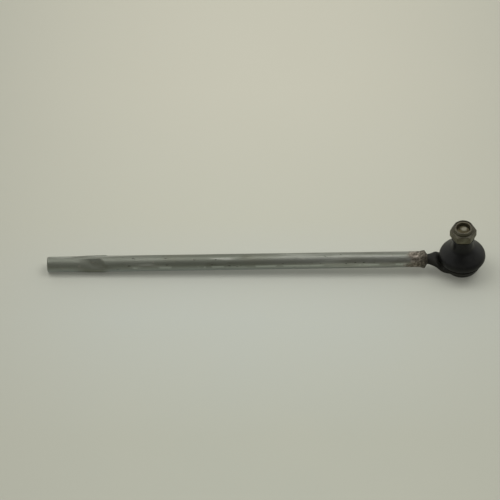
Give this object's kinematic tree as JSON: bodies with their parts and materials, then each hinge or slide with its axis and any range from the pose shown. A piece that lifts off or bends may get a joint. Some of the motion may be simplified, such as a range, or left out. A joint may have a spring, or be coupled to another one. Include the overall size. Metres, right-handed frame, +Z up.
{
  "type": "tie rod",
  "caption": "Steering tie rod: a steel tube with an inner thread and pressed wrench flats, welded to a ball joint with a rubber boot, a threaded stud and a lock nut.",
  "frame": {"origin": "on the surface that the rod lies on, under the middle of its box", "axes": "+X along the rod towards the ball joint, +Y to the far side, +Z up; the stud points up"},
  "size_m": [0.4382, 0.0464, 0.0601],
  "materials": {
    "plated_tube": "dull zinc-plated steel with dirt streaks and small spots, brown heat tint beside the weld",
    "weld_steel": "bare weld metal with a light brown oxide",
    "black_forging": "black paint on a forged surface, half matt, dusty",
    "bearing_plastic": "natural bearing plastic, greased",
    "spring_steel": "plain spring steel",
    "cover_steel": "black painted pressed steel",
    "stud_steel": "bright turned steel",
    "boot_rubber": "black moulded rubber with a soft sheen",
    "ring_wire": "blackened spring wire",
    "nut_steel": "yellowed zinc plating, worn and dirty",
    "insert_nylon": "dark nylon"
  },
  "bodies": {
    "rod": {"rod_tube": "plated_tube", "weld_bead": "weld_steel", "joint_housing": "black_forging", "upper_bearing": "bearing_plastic", "lower_bearing": "bearing_plastic", "disc_spring": "spring_steel", "cover_plate": "cover_steel", "boot_lower_ring": "ring_wire"},
    "boot_fold": {"dust_boot": "boot_rubber"},
    "boot_collar": {"boot_upper_ring": "ring_wire"},
    "stud": {"ball_stud": "stud_steel", "lock_nut": "nut_steel", "nut_insert": "insert_nylon"}
  },
  "joints": [
    {"name": "stud_rock", "type": "hinge", "parent": "rod", "child": "boot_fold", "pos_m": [0.19596, 0, 0.01438], "axis": [0.9999, 0, 0.016], "range_deg": [-18, 18], "deforming": ["dust_boot"]},
    {"name": "stud_swing", "type": "hinge", "parent": "boot_fold", "child": "boot_collar", "pos_m": [0.19596, 0, 0.01438], "axis": [0, 1, 0], "range_deg": [-18, 18], "deforming": ["dust_boot"]},
    {"name": "stud_spin", "type": "hinge", "parent": "boot_collar", "child": "stud", "pos_m": [0.19596, 0, 0.01438], "axis": [-0.016, 0, 0.9999], "continuous": true, "deforming": ["dust_boot"]}
  ]
}
